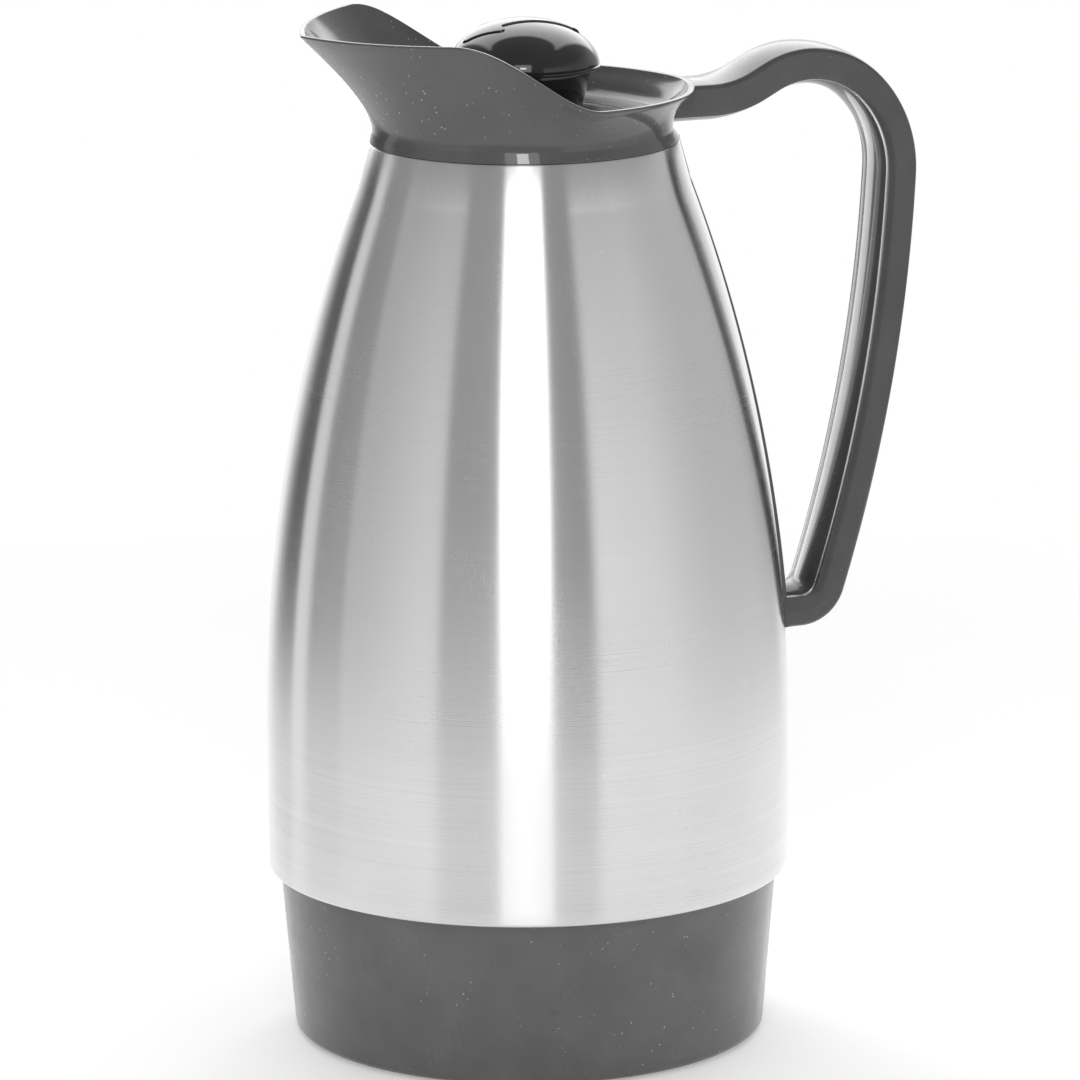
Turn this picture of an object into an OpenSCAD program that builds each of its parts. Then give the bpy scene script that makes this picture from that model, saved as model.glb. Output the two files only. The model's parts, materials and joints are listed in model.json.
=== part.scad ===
// Thermal carafe: a brushed steel shell on a plastic cup, a pouring collar, a loop handle
// and a screw stopper whose dome carries an arrow-shaped flip lid over a spring valve.
// Millimetres. Z is up, X points at the handle, the spout points along -X.
// The origin is the centre of the face that the carafe stands on.

/* [Base] */
// Height of the plastic cup, from the table to the steel
base_h = 46; // [40:1:56]
// How far the cup is set in under the steel
base_step = 3; // [2:0.1:4.4]
// How much narrower the cup is at its foot
base_taper = 3.6; // [1:0.1:5]
// Rounding of the cup's lower edge
base_edge_r = 2.2; // [1:0.1:3]
// Wall of the cup
base_wall = 2.4; // [1.8:0.1:3]
// Floor of the cup
base_floor = 3; // [2:0.5:5]
// Rim left between the rubber pad and the screw recesses
pad_rim = 0.9; // [0.6:0.1:6]
// Thickness of the rubber pad
pad_t = 2; // [1.5:0.1:3]
// How far the pad stands out below the cup
pad_proud = 0.8; // [0.4:0.1:1.2]
// How far the base screws stand in from the cup's wall
base_screw_in = 3.6; // [3.3:0.1:4.2]
// Radius of a base screw's shank
base_screw_r = 1.5; // [1.2:0.1:1.6]

/* [Steel shell] */
// Height of the steel, from the cup to the collar
shell_h = 197.8; // [180:1:220]
// Largest radius of the steel
shell_r = 70.4; // [69:0.1:74]
// Radius of the steel under the collar
neck_r = 41.4; // [40:0.1:44]
// Height of the upright lower part of the steel
shell_upright = 39; // [20:1:60]
// Height of the straight cone below the collar
neck_run = 11.8; // [6:0.1:20]
// Lean of that cone in degrees
neck_lean = 14.7; // [8:0.1:18]
// Thickness of the steel
shell_t = 0.6; // [0.4:0.1:1]

/* [Collar] */
// Height of the bowl's floor above the steel
collar_floor_h = 5.8; // [5:0.1:7]
// Height of the waist above the steel
waist_h = 3.4; // [2.6:0.1:4.2]
// How much narrower the waist is than the steel
waist_in = 1.4; // [0.8:0.1:2]
// Shift of the waist towards the handle
waist_shift = 1.1; // [0:0.1:1.6]
// Height of the rear rim above the steel
rear_rim_h = 13.7; // [12.5:0.1:17]
// Height of the side rims above the steel
side_rim_h = 32.8; // [26:0.1:38]
// How much the rim dips from the sides to the spout's tip
tip_dip = 1.5; // [0:0.1:4]
// How far the rear rim flares out past the steel's neck
rear_flare = 3.8; // [2:0.1:5]
// How far the side rims flare out past the steel's neck
side_flare = 12.6; // [8:0.1:16]
// How far the spout's tip reaches past the side rims
spout_reach = 7.9; // [4:0.1:14]
// Swelling of the rear rim where the handle leaves it
handle_blend = 1.4; // [0:0.1:2]
// Wall of the collar
collar_wall = 2; // [1.6:0.1:2.4]
// Rounding at the foot of the bowl's wall
bowl_fillet = 5; // [3:0.5:6]

/* [Throat] */
// Radius of the throat's bore
throat_r = 17.4; // [17:0.1:18]
// Wall of the throat
throat_wall = 3.3; // [2.6:0.1:3.8]
// Depth of the throat below the bowl's floor
throat_depth = 21.6; // [20:0.1:25]
// Radius of the throat's flange in the bowl
insert_r = 29.8; // [28:0.1:31]
// Thickness of that flange
insert_t = 2; // [1.6:0.1:2.4]
// Thickness of the ledge that the stopper's seal lands on
ledge_t = 2; // [1.5:0.1:3]
// Radius of the hole in that ledge
ledge_r = 13.8; // [13.6:0.1:14.2]
// Radius of a collar screw's shank
collar_screw_r = 1.5; // [1.2:0.1:1.8]
// Radius of the circle of collar screws
collar_screw_ring_r = 26; // [25.5:0.1:26.5]

/* [Flask] */
// Air between the flask and the screw posts
flask_air = 0.85; // [0.5:0.05:6]
// Outer radius of the flask's neck
flask_neck_r = 21; // [20.5:0.1:22]
// Thickness of each glass wall
glass_t = 1.6; // [1.2:0.1:2]
// Vacuum gap around the body of the flask
vacuum_gap = 3.4; // [2:0.1:5]
// Vacuum gap in the neck
neck_gap = 2.2; // [1.6:0.1:2.4]
// Radius of the flask's flat bottom
flask_flat_r = 30; // [26:1:34]
// Height of the flask's rounded bottom corner
flask_corner_h = 26; // [20:1:32]
// Height of the flask's straight body, corner included
flask_body_h = 102; // [80:1:120]
// Height of the flask's straight neck
flask_neck_h = 14.5; // [10:0.5:20]
// Height of the pedestal under the flask, above the cup's floor
pedestal_h = 17; // [14:0.5:22]
// Thickness of the rubber cushion under the flask
cushion_t = 4; // [3:0.5:5]
// Thickness of the gasket on the flask's mouth
gasket_t = 1.5; // [1:0.1:2]

/* [Handle] */
// Width of the handle
handle_w = 19; // [17:0.5:22]
// Depth of the handle's side faces
handle_t = 8.6; // [8:0.1:10]
// Height of the handle's top end above the steel
handle_top_h = 8.6; // [8.2:0.1:9]
// Distance from the steel to the bend above the handle's foot
foot_reach = 6.1; // [5:0.1:10]
// Radius of the first upward bend
rise_r = 27.5; // [20:0.5:32]
// Climb of the handle's top in degrees
rise_deg = 28.4; // [22:0.1:32]
// Straight length between the bends
rise_run = 4.2; // [2:0.1:8]
// Radius over the crest
crest_r = 24; // [20:0.5:28]
// Turn over the crest in degrees, past level
crest_deg = 43.3; // [38:0.1:48]
// Radius of the outer shoulder
shoulder_bend_r = 32.3; // [28:0.1:36]
// Turn of the outer shoulder in degrees
shoulder_bend_deg = 49.7; // [46:0.1:53]
// Radius of the long grip
grip_r = 441; // [400:1:480]
// Turn of the long grip in degrees
grip_deg = 14.9; // [13:0.1:16]
// Radius of the bend above the foot
foot_bend_r = 8.8; // [7:0.1:11]
// Wall of the handle's channel
handle_wall = 2; // [1.6:0.1:2.6]
// Crown of the inner cover
cover_crown = 2; // [0.5:0.1:3]
// Thickness of the inner cover in the channel
cover_t = 2.2; // [1.8:0.1:2.6]
// Thickness of the spine strip at the foot
spine_foot_t = 3.4; // [2.5:0.1:4.5]
// Thickness of the spine strip under the collar
spine_top_t = 0.6; // [0.5:0.1:1.2]
// Radius of the foot screw's shank
foot_screw_r = 1.5; // [1.2:0.1:1.7]

/* [Stopper] */
// Radius of the dome
dome_r = 20.5; // [20:0.1:22]
// Height of the dome
dome_h = 12.8; // [12:0.1:15]
// Height of the dome's edge above the bowl's floor
dome_edge_h = 13.6; // [12.5:0.1:15]
// Wall of the dome at its edge
dome_wall = 2.2; // [1.8:0.1:2.4]
// Wall of the dome at its top
dome_top_wall = 3.4; // [3.2:0.1:3.8]
// Radius of the plug's threaded core
plug_r = 15.2; // [14.8:0.1:15.4]
// Wall of the plug
plug_wall = 2; // [1.6:0.1:2.2]
// Rise of the stopper in one turn
thread_lead = 24; // [20:1:28]
// Number of thread starts
thread_starts = 2; // [2:1:3]
// Height of a thread ridge
ridge_h = 2.4; // [1.8:0.1:3]
// Arc of a ridge on the plug in degrees
plug_ridge_deg = 80; // [60:5:100]
// Arc of a ridge in the throat in degrees
throat_ridge_deg = 110; // [90:5:120]
// Thickness of the plug's seal
seal_t = 3.6; // [3:0.1:4]
// Radius of the valve's port
port_r = 5.6; // [4.8:0.1:6.4]
// Radius of the valve's rubber disc
valve_r = 8.8; // [8:0.1:9]
// Thickness of that disc
valve_t = 2.1; // [1.6:0.1:2.6]
// Radius of the valve rod
rod_r = 2.5; // [2.2:0.1:2.8]
// Radius of the button on the rod
button_r = 3; // [2.8:0.1:3.4]
// Lift of the valve
valve_lift = 3.5; // [2.5:0.1:3.6]
// Mean radius of the valve spring
spring_r = 4.1; // [3.9:0.1:4.3]
// Radius of the spring's wire
spring_wire_r = 0.4; // [0.3:0.05:0.5]
// Turns of the spring
spring_turns = 5; // [4:1:6]

/* [Flip lid] */
// Length of the arrow's head
head_l = 9; // [7:0.1:10]
// Half of the width of the arrow's head
head_half = 6.8; // [5.5:0.1:8]
// Half of the width of the arrow's tail
tail_half = 3.6; // [3:0.1:4.2]
// Distance of the arrow's tip from the axis
tip_x = 16.6; // [15:0.1:17]
// Distance of the hinge from the axis
hinge_x = 12.4; // [11.5:0.1:12.8]
// Radius of the lid's barrel
barrel_r = 2.9; // [2.6:0.1:3]
// Radius of the hinge pin
pin_r = 1; // [0.8:0.1:1.2]
// How far the lid stands out of the dome
lid_proud = 0.8; // [0.5:0.1:1]
// Thickness of the lid
lid_t = 2.2; // [1.8:0.1:2.4]

/* [Hidden] */

// Clearances: between turning fits, round loose fits, and between a moving piece and its seat
run_gap = 0.05;
loose_gap = 0.2;
seat_gap = 0.3;
// How far joined shapes of one piece reach into each other
bite = 0.5;
$fn = 96;

// Colours
steel = [0.78, 0.78, 0.79];
dark = [0.22, 0.22, 0.23];
rubber = [0.12, 0.12, 0.12];
clear_glass = [0.75, 0.85, 0.88, 0.5];
grey_plastic = [0.5, 0.5, 0.52];

// Heights up the carafe
base_floor_z = pad_t;
base_floor_top = pad_t + base_floor;
pedestal_z = base_floor_top + pedestal_h;
flask_z = pedestal_z + cushion_t;
neck_z = base_h + shell_h;
floor_z = neck_z + collar_floor_h;
throat_z = floor_z - throat_depth;
flask_top_z = throat_z - gasket_t;
dome_z = floor_z + dome_edge_h;

// Cup, screws and their posts, each post and head a multiple of its screw
base_top_r = shell_r - base_step;
base_foot_r = base_top_r - base_taper;
base_screw_ring_r = base_foot_r - base_wall - base_screw_in;
base_post_r = 2.5 * base_screw_r;
base_head_r = 1.8 * base_screw_r;
pad_r = base_screw_ring_r - base_head_r - loose_gap - pad_rim;
flask_r = base_screw_ring_r - base_post_r - flask_air;
base_head_h = 1.6 * base_screw_r;
base_web_t = 8;
// How far the cup's posts end below its top edge, where the ring's posts meet them
base_post_drop = 16;
base_post_top = base_h - base_post_drop;
base_screw_grip = 12;
collar_head_r = 1.8 * collar_screw_r;
collar_head_h = 1.6 * collar_screw_r;
screw_angles = [60, 180, 300];

// Steel shell
flange_in = 5.6;
bend_z = base_h + shell_upright;
neck_foot_z = neck_z - neck_run;
neck_foot_r = neck_r + neck_run * tan(neck_lean);
bend_drop = shell_r - neck_foot_r;
bend_rise = neck_foot_z - bend_z;
bend_r = (bend_drop * bend_drop + bend_rise * bend_rise) / (2 * bend_drop);
bend_steps = 28;

// Steel radius at a height
function shell_at(z) = z <= bend_z ? shell_r
    : z < neck_foot_z ? shell_r - bend_r + sqrt(bend_r * bend_r - (z - bend_z) * (z - bend_z))
    : neck_r + (neck_z - z) * tan(neck_lean);
// Outline of the steel between two heights, moved out by a distance that may change with height
function shell_line(from, to, out_from, out_to) = [for (i = [0:bend_steps])
    let (f = i / bend_steps, z = from + f * (to - from))
    [shell_at(z) + out_from + f * (out_to - out_from), z]];

ring_t = 4.4;
ring_in_r = base_screw_ring_r + 1;
clamp_t = 4;
clamp_in_r = throat_r + throat_wall + 1.4;

// Collar: angle 0 is at the handle and 180 at the spout
collar_step = 7.5;
cheek_from = 82;
cheek_to = 130;
tip_from = 120;
tip_pow = 1.7;
blend_width = 25;
flange_t = 1.2;
lip_h = 0.7;
lip_round = 0.5;
wall_levels = [0, 0.12, 0.25, 0.4, 0.55, 0.7, 0.85, 1];
bowl_levels = [0, 0.03, 0.09, 0.18, 0.32, 0.5, 0.74, 1];

function ease(u) = let (v = max(0, min(1, u))) v * v * (3 - 2 * v);
function half_turn(a) = a > 180 ? 360 - a : a;
function cheek(a) = ease((a - cheek_from) / (cheek_to - cheek_from));
function to_tip(a) = max(0, (a - tip_from) / (180 - tip_from));
function near_handle(a) = a < blend_width ? pow(cos(a * 90 / blend_width), 2) : 0;
function rim_r(a) = neck_r + rear_flare + (side_flare - rear_flare) * cheek(a)
    + spout_reach * pow(to_tip(a), tip_pow) + handle_blend * near_handle(a);
function rim_z(a) = neck_z + rear_rim_h + (side_rim_h - rear_rim_h) * cheek(a) - tip_dip * to_tip(a);
function waist_r(a) = neck_r - waist_in + waist_shift * cos(a);
function flare_pow(a) = 1.6 + 0.25 * (1 + cos(a));
function wall_run(a) = rim_z(a) - lip_h - neck_z - waist_h;
function wall_share(a, z) = max(0, min(1, (z - neck_z - waist_h) / wall_run(a)));
function wall_out(a, z) = waist_r(a) + (rim_r(a) - waist_r(a)) * pow(wall_share(a, z), flare_pow(a));
function wall_slope(a, z) = (rim_r(a) - waist_r(a)) * flare_pow(a)
    * pow(wall_share(a, z), flare_pow(a) - 1) / wall_run(a);
function wall_in(a, z) = wall_out(a, z) - collar_wall * sqrt(1 + pow(wall_slope(a, z), 2));
function fillet_in(a, z) = let (s = min(1, (z - floor_z) / bowl_fillet))
    (wall_in(a, floor_z) - insert_r - loose_gap) * (1 - sqrt(1 - (1 - s) * (1 - s)));
function bowl_at(a, z) = wall_in(a, z) - fillet_in(a, z);

function collar_outer_loop(a) = concat(
    [[neck_r, neck_z], [neck_r, neck_z + flange_t],
     [(waist_r(a) + neck_r) / 2 - 0.3, neck_z + (flange_t + waist_h) / 2]],
    [for (t = wall_levels) let (z = neck_z + waist_h + t * wall_run(a)) [wall_out(a, z), z]],
    [[rim_r(a) - lip_round, rim_z(a)]]);
function collar_inner_loop(a) = let (top = rim_z(a) - lip_h) concat(
    [[wall_in(a, top) + lip_round, rim_z(a)]],
    [for (i = [len(bowl_levels) - 1:-1:0])
        let (z = floor_z + bowl_levels[i] * (top - floor_z)) [bowl_at(a, z), z]],
    [[insert_r + loose_gap, floor_z - insert_t], [throat_r + throat_wall + loose_gap, floor_z - insert_t],
     [throat_r + throat_wall + loose_gap, neck_z]]);

// A closed ring of loops around Z, one loop for each angle
module loop_ring(loops) {
    n = len(loops);
    m = len(loops[0]);
    angle = 360 / n;
    points = [for (i = [0:n - 1]) for (p = loops[i])
        [p[0] * cos(i * angle), p[0] * sin(i * angle), p[1]]];
    faces = [for (i = [0:n - 1]) for (k = [0:m - 1])
        let (j = (i + 1) % n, l = (k + 1) % m, a = i * m + k, b = i * m + l, c = j * m + k, d = j * m + l)
        each [[a, b, d], [a, d, c]]];
    polyhedron(points, faces);
}

// A closed solid from the axis to one outline for each angle
module loop_solid(loops) {
    n = len(loops);
    m = len(loops[0]);
    angle = 360 / n;
    points = concat([for (i = [0:n - 1]) for (p = loops[i])
        [p[0] * cos(i * angle), p[0] * sin(i * angle), p[1]]],
        [[0, 0, loops[0][0][1]], [0, 0, loops[0][m - 1][1]]]);
    sides = [for (i = [0:n - 1]) for (k = [0:m - 2])
        let (a = i * m + k, b = a + 1, c = ((i + 1) % n) * m + k, d = c + 1)
        each [[a, b, d], [a, d, c]]];
    ends = [for (i = [0:n - 1]) let (j = (i + 1) % n)
        each [[n * m, i * m, j * m], [n * m + 1, j * m + m - 1, i * m + m - 1]]];
    polyhedron(points, concat(sides, ends));
}

// Handle route in the XZ plane: each stretch is its length, its turn and its number of steps
function arc_l(r, deg) = r * deg * PI / 180;
handle_end_turn = 180 - crest_deg - shoulder_bend_deg - grip_deg;
handle_bends = [[arc_l(rise_r, rise_deg), rise_deg, 6], [rise_run, 0, 1],
    [arc_l(crest_r, rise_deg + crest_deg), -rise_deg - crest_deg, 13],
    [arc_l(shoulder_bend_r, shoulder_bend_deg), -shoulder_bend_deg, 8],
    [arc_l(grip_r, grip_deg), -grip_deg, 7],
    [arc_l(foot_bend_r, handle_end_turn), -handle_end_turn, 9]];
function along(pose, stretch, f) = let (h = pose[2], turn = stretch[1] * f, l = stretch[0])
    stretch[1] == 0 ? [pose[0] + l * f * cos(h), pose[1] + l * f * sin(h), h]
    : let (r = l / (stretch[1] * PI / 180))
      [pose[0] + r * (sin(h + turn) - sin(h)), pose[1] - r * (cos(h + turn) - cos(h)), h + turn];
function pose_after(start, route, i) = i == 0 ? start
    : along(pose_after(start, route, i - 1), route[i - 1], 1);
// The level runs at both ends reach the collar and the steel, whatever their sizes
handle_start = [neck_r - 2, neck_z + handle_top_h, 0];
bends_reach = pose_after([0, 0, 0], handle_bends, len(handle_bends))[0];
stub_run = shell_r + foot_reach - bends_reach - handle_start[0];
// How far the foot's level run goes on past the steel's face, before it is cut to the spine
foot_over = 8;
handle_route = concat([[stub_run, 0, 2]], handle_bends, [[foot_reach + foot_over, 0, 1]]);
handle_last = len(handle_route) - 1;
handle_poses = concat([for (i = [0:handle_last]) for (k = [0:handle_route[i][2] - 1])
    along(pose_after(handle_start, handle_route, i), handle_route[i], k / handle_route[i][2])],
    [pose_after(handle_start, handle_route, handle_last + 1)]);
foot_z = handle_poses[len(handle_poses) - 1][1];

side_half = handle_t / 2;
half_w = handle_w / 2;
mouth_half = half_w - handle_wall;
channel_top = side_half - handle_wall - 0.4;
corner = 1.5;
outer_crown = 0.6;
// Cross-sections: first across the handle, then away from the body
shell_section = [[-half_w, -side_half + 0.4], [-half_w, side_half - corner],
    [-half_w + 0.3 * corner, side_half - 0.3 * corner], [-half_w + corner, side_half],
    [-half_w / 2, side_half + 0.8 * outer_crown], [0, side_half + outer_crown],
    [half_w / 2, side_half + 0.8 * outer_crown], [half_w - corner, side_half],
    [half_w - 0.3 * corner, side_half - 0.3 * corner], [half_w, side_half - corner],
    [half_w, -side_half + 0.4], [half_w - 0.4, -side_half], [-half_w + 0.4, -side_half]];
cover_section = [[-mouth_half, -side_half], [-mouth_half, -side_half + cover_t],
    [mouth_half, -side_half + cover_t], [mouth_half, -side_half],
    [0.72 * mouth_half, -side_half - 0.62 * cover_crown],
    [0.4 * mouth_half, -side_half - 0.93 * cover_crown],
    [0, -side_half - cover_crown],
    [-0.4 * mouth_half, -side_half - 0.93 * cover_crown],
    [-0.72 * mouth_half, -side_half - 0.62 * cover_crown]];

// Runs a cross-section along the handle's route
module handle_sweep(section) {
    m = len(section);
    n = len(handle_poses);
    points = [for (p = handle_poses) for (s = section)
        [p[0] - s[1] * sin(p[2]), s[0], p[1] + s[1] * cos(p[2])]];
    sides = [for (i = [0:n - 2]) for (k = [0:m - 1])
        let (a = i * m + k, b = i * m + (k + 1) % m, c = a + m, d = b + m)
        each [[a, b, d], [a, d, c]]];
    first = [for (k = [m - 1:-1:0]) k];
    last = [for (k = [0:m - 1]) (n - 1) * m + k];
    polyhedron(points, concat([first], sides, [last]));
}

// Flask: a wall lies between two outlines that are set in from the glass's outer face
flask_body_z = flask_z + flask_body_h;
flask_neck_z = flask_top_z - flask_neck_h;
lip_t = 2;
flask_steps = 20;
corner_steps = 9;
function flask_line(body_in, neck_in, up, top) = concat(
    [for (i = [0:corner_steps]) let (a = 90 * i / corner_steps)
        [flask_flat_r - body_in + (flask_r - flask_flat_r) * sin(a),
         flask_z + up + flask_corner_h * (1 - cos(a))]],
    [for (i = [0:flask_steps]) let (f = i / flask_steps)
        [flask_neck_r - neck_in + (flask_r - body_in - flask_neck_r + neck_in) * (1 + cos(180 * f)) / 2,
         flask_body_z + up / 2 + f * (flask_neck_z - flask_body_z - up / 2)]],
    [[flask_neck_r - neck_in, top]]);
function back(line) = [for (i = [len(line) - 1:-1:0]) line[i]];
inner_body_in = glass_t + vacuum_gap;
inner_neck_in = glass_t + neck_gap;
mouth_r = flask_neck_r - inner_neck_in - glass_t;

// Stopper heights
plug_top_z = dome_z + 1;
plug_plate_t = 2;
stem_foot_z = floor_z + 1.9;
seal_z = throat_z + ledge_t + seat_gap;
plug_step_z = seal_z + seal_t + run_gap;
plug_lip_r = ledge_r - seat_gap;
plug_lip_top = seal_z - 0.1;
plug_end_z = plug_lip_top - 1.6;
spigot_r = plug_lip_r - 1.1;
valve_seat_z = plug_end_z + 2.6;
valve_z = valve_seat_z + seat_gap;
valve_head_r = rod_r + 0.7;
rod_spigot_r = 0.72 * rod_r;
rod_collar_t = 1.2;
// The rod's collar keeps some air below the dome when the valve is up
rod_air = 1.3;
rod_collar_z = dome_z + dome_h - dome_top_wall - valve_lift - rod_collar_t - rod_air;
rod_collar_r = spring_r + spring_wire_r + 0.4;
well_r = rod_collar_r + 0.9;
well_depth = 8.7;
well_z = plug_top_z - well_depth;
well_wall = 1.4;
// Depth of the throat's ridges below the bowl's floor
ridge_depth = 7;
ridge_z = floor_z - ridge_depth;
plug_ridge_z = ridge_z - ridge_h - seat_gap;
ridge_out_r = throat_r - 2 * loose_gap;
ridge_in_r = plug_r + 2 * loose_gap;

// The dome is a half ellipse; lid, recess and inside are the same shape, moved in or out
dome_steps = 18;
function dome_line(out) = [for (i = [0:dome_steps]) let (a = 90 * i / dome_steps)
    [(dome_r + out) * cos(a), dome_z + (dome_h + out) * sin(a)]];
function dome_at(x, out) = dome_z + (dome_h + out) * sqrt(1 - pow(x / (dome_r + out), 2));
lid_under = lid_proud - lid_t;
recess_under = lid_under - seat_gap;
// The barrel touches the lid's outer face a little behind the hinge
touch_x = hinge_x + 1.4;
hinge_slope = atan((dome_h + lid_proud) / (dome_r + lid_proud) * touch_x / (dome_r + lid_proud)
    / sqrt(1 - pow(touch_x / (dome_r + lid_proud), 2)));
hinge_z = dome_at(hinge_x + barrel_r * sin(hinge_slope), lid_proud) - barrel_r * cos(hinge_slope);
pin_half = 7;
button_top_z = dome_at(0, lid_under) - seat_gap;

module dome_solid(out) rotate_extrude() polygon(concat([[0, dome_z]], dome_line(out)));

// Seen from above: an arrow whose tip points at the spout
module arrow(grow) {
    polygon([[-tip_x - 1.6 * grow, 0.8 + grow / 2], [-tip_x + head_l - 1.2, head_half + grow],
        [-tip_x + head_l + grow, head_half + grow], [-tip_x + head_l + grow, tail_half + grow],
        [hinge_x + barrel_r * sin(hinge_slope), tail_half + grow],
        [hinge_x + barrel_r * sin(hinge_slope), -tail_half - grow],
        [-tip_x + head_l + grow, -tail_half - grow], [-tip_x + head_l + grow, -head_half - grow],
        [-tip_x + head_l - 1.2, -head_half - grow], [-tip_x - 1.6 * grow, -0.8 - grow / 2]]);
}

module across_hinge(r, half_l) translate([hinge_x, 0, hinge_z]) rotate([90, 0, 0])
    cylinder(h = 2 * half_l, r = r, center = true);

// A helical ridge between two radii, centred on an angle and a height
module ridge(r_in, r_out, mid_deg, arc_deg, mid_z) {
    steps = 12;
    m = 4;
    points = [for (i = [0:steps])
        let (turn = (i / steps - 0.5) * arc_deg, a = mid_deg + turn, z = mid_z + thread_lead * turn / 360)
        each [for (p = [[r_in, -1], [r_out, -1], [r_out, 1], [r_in, 1]])
            [p[0] * cos(a), p[0] * sin(a), z + p[1] * ridge_h / 2]]];
    sides = [for (i = [0:steps - 1]) for (k = [0:m - 1])
        let (a = i * m + k, b = i * m + (k + 1) % m, c = a + m, d = b + m) each [[a, b, d], [a, d, c]]];
    polyhedron(points, concat([[3, 2, 1, 0]], sides, [[for (k = [0:m - 1]) steps * m + k]]));
}

module at_screws(ring_r) for (a = screw_angles) rotate([0, 0, a]) translate([ring_r, 0, 0]) children();

module base_cup() color(dark) {
    inner_top_r = base_top_r - base_wall;
    inner_foot_r = base_foot_r - base_wall;
    difference() {
        union() {
            rotate_extrude() polygon(concat([[0, base_floor_z], [pad_r + loose_gap, base_floor_z],
                [pad_r + loose_gap, pad_proud]],
                [for (i = [0:6]) let (a = 15 * i) [base_foot_r - base_edge_r + base_edge_r * sin(a),
                    pad_proud + base_edge_r * (1 - cos(a))]],
                [[base_top_r, base_h], [inner_top_r, base_h],
                 [inner_foot_r, base_floor_top], [0, base_floor_top]]));
            // Pedestal under the flask
            translate([0, 0, base_floor_z]) cylinder(h = pedestal_z - base_floor_z, r = flask_flat_r);
            at_screws(base_screw_ring_r) translate([0, 0, base_floor_z])
                cylinder(h = base_post_top - base_floor_z, r = base_post_r, $fn = 48);
        }
        translate([0, 0, base_floor_top])
            cylinder(h = pedestal_z - base_floor_top - base_wall, r = flask_flat_r - base_wall);
        cylinder(h = pedestal_z + 1, r = flask_flat_r / 3);
        at_screws(base_screw_ring_r) {
            cylinder(h = base_post_top - base_web_t, r = base_head_r + loose_gap, $fn = 48);
            cylinder(h = base_post_top + 1, r = base_screw_r + loose_gap, $fn = 48);
        }
    }
}

module foot_pad() color(rubber) cylinder(h = pad_t, r = pad_r);

module base_screws() color(steel) at_screws(base_screw_ring_r)
    translate([0, 0, base_post_top - base_web_t]) {
        translate([0, 0, -base_head_h]) cylinder(h = base_head_h, r = base_head_r, $fn = 48);
        translate([0, 0, -bite])
            cylinder(h = base_web_t + base_screw_grip + bite, r = base_screw_r, $fn = 48);
    }

module shell_ring() color(grey_plastic) {
    ring_z = base_h + shell_t;
    difference() {
        union() {
            translate([0, 0, ring_z]) cylinder(h = ring_t, r = shell_r - shell_t - loose_gap);
            at_screws(base_screw_ring_r) translate([0, 0, base_post_top])
                cylinder(h = ring_z + ring_t - base_post_top, r = base_post_r, $fn = 48);
        }
        translate([0, 0, ring_z - bite]) cylinder(h = ring_t + 1, r = ring_in_r);
        cylinder(h = base_h + 2 * ring_t, r = flask_r + seat_gap);
        at_screws(base_screw_ring_r) translate([0, 0, base_post_top - 1])
            cylinder(h = base_screw_grip + 1, r = base_screw_r, $fn = 48);
    }
}

module steel_shell() color(steel) difference() {
    rotate_extrude() polygon(concat(
        [[shell_r - flange_in, base_h]], shell_line(base_h, bend_z, 0, 0), shell_line(bend_z, neck_z, 0, 0),
        [[neck_r - flange_in, neck_z], [neck_r - flange_in, neck_z - shell_t]],
        back(shell_line(bend_z, neck_z - shell_t, -shell_t, -shell_t)),
        [[shell_r - shell_t, base_h + shell_t], [shell_r - flange_in, base_h + shell_t]]));
    foot_hole(foot_screw_r + loose_gap);
}

module flask_cushion() color(rubber) difference() {
    translate([0, 0, pedestal_z]) cylinder(h = cushion_t, r = flask_flat_r);
    translate([0, 0, pedestal_z - 1]) cylinder(h = cushion_t + 2, r = flask_flat_r / 3);
}

module flask_outer_wall() color(clear_glass) union() {
    rotate_extrude() polygon(concat([[0, flask_z]], flask_line(0, 0, 0, flask_top_z - lip_t),
        back(flask_line(glass_t, glass_t, glass_t, flask_top_z - lip_t)), [[0, flask_z + glass_t]]));
    // Sealed-off tip of the vacuum space
    translate([0, 0, flask_z - cushion_t - 2]) cylinder(h = cushion_t + 2 + glass_t / 2, r1 = 1, r2 = 3);
}

module flask_inner_wall() color(clear_glass) rotate_extrude() polygon(concat(
    [[0, flask_z + inner_body_in]],
    flask_line(inner_body_in, inner_neck_in, inner_body_in, flask_top_z - lip_t),
    [[flask_neck_r, flask_top_z - lip_t], [flask_neck_r, flask_top_z - bite],
     [flask_neck_r - bite, flask_top_z], [mouth_r + bite, flask_top_z], [mouth_r, flask_top_z - bite]],
    back(flask_line(inner_body_in + glass_t, inner_neck_in + glass_t, inner_body_in + glass_t,
        flask_top_z - lip_t)), [[0, flask_z + inner_body_in + glass_t]]));

// Three small pads keep the walls apart at the bottom
module flask_spacers() color(grey_plastic) for (a = screw_angles) rotate([0, 0, a])
    translate([flask_flat_r / 2, 0, flask_z + glass_t]) cylinder(h = vacuum_gap, r = 4, $fn = 48);

module neck_gasket() color(rubber) translate([0, 0, flask_top_z]) difference() {
    cylinder(h = gasket_t, r = flask_neck_r);
    translate([0, 0, -1]) cylinder(h = gasket_t + 2, r = mouth_r);
}

lug_half_w = mouth_half - loose_gap;
lug_l = 9;
lug_t = 2.4;
module collar() color(dark) difference() {
    union() {
        loop_ring([for (a = [0:collar_step:359]) let (b = half_turn(a))
            concat(collar_outer_loop(b), collar_inner_loop(b))]);
        // Lug that the handle's channel slides over
        translate([neck_r - bite, -lug_half_w, neck_z + handle_top_h - side_half + cover_t + loose_gap])
            cube([lug_l + bite, 2 * lug_half_w, lug_t]);
    }
    at_screws(collar_screw_ring_r) translate([0, 0, neck_z - 1])
        cylinder(h = collar_floor_h + 1, r = collar_screw_r + loose_gap, $fn = 48);
}

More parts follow.
